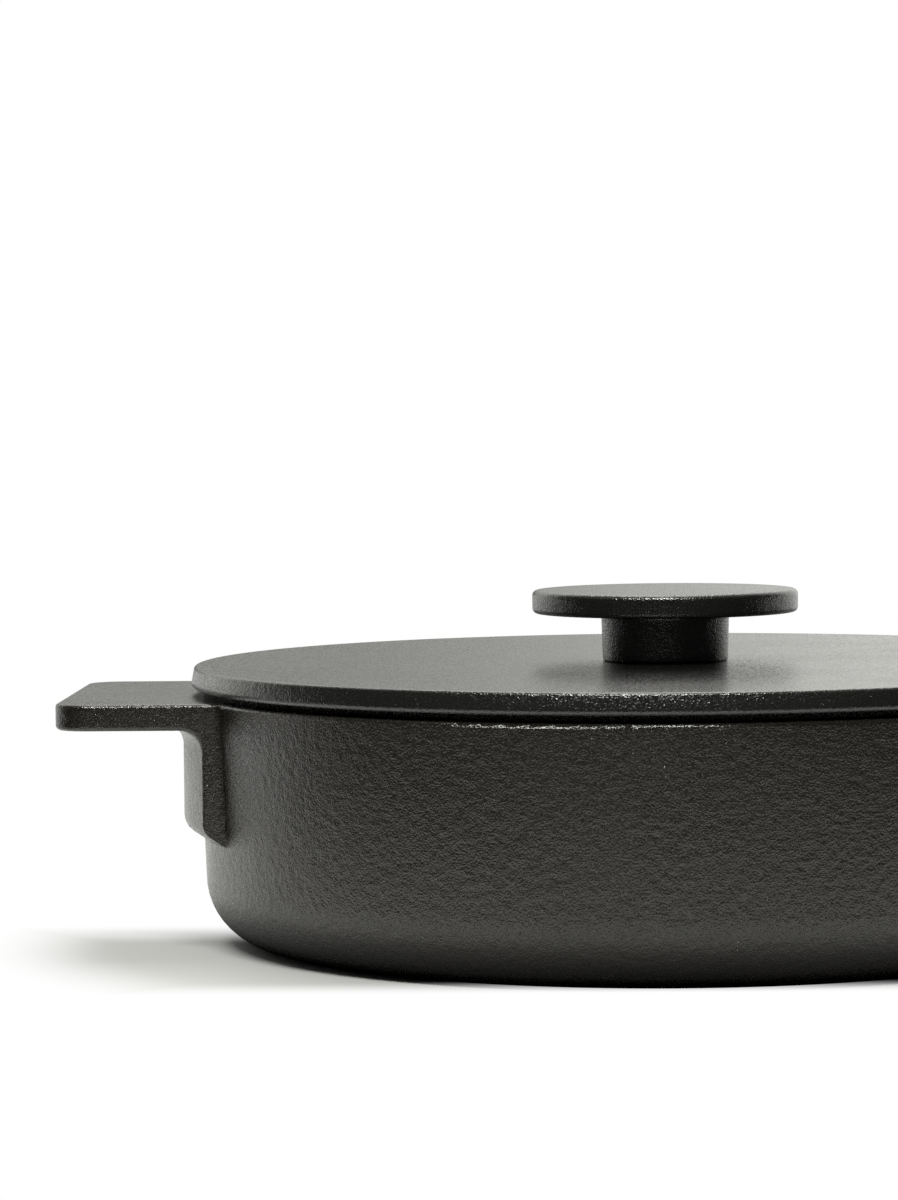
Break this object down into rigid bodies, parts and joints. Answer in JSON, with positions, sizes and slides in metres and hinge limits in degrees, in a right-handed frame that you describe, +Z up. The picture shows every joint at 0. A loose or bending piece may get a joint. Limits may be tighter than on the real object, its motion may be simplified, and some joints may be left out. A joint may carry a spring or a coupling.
{
  "type": "casserole pot",
  "caption": "Shallow round cast iron casserole with flat tab handles, a flat drop-in lid and a mushroom knob screwed on from below.",
  "frame": {"origin": "middle of the foot, on the surface the pot stands on", "axes": "+X through the two handles, +Z up along the axis of the pot, lid and knob"},
  "size_m": [0.327, 0.2598, 0.0957],
  "materials": {
    "pot_enamel": "matte black enamel with a coarse pebbled surface",
    "lid_enamel": "matte black enamel with a fine pebbled surface",
    "knob_enamel": "matte black enamel with a fine pebbled surface",
    "screw_steel": "turned stainless steel",
    "washer_steel": "stamped stainless steel"
  },
  "bodies": {
    "root": {"pot_body": "pot_enamel", "lid": "lid_enamel", "knob": "knob_enamel", "knob_screw": "screw_steel", "knob_washer": "washer_steel"}
  },
  "joints": []
}
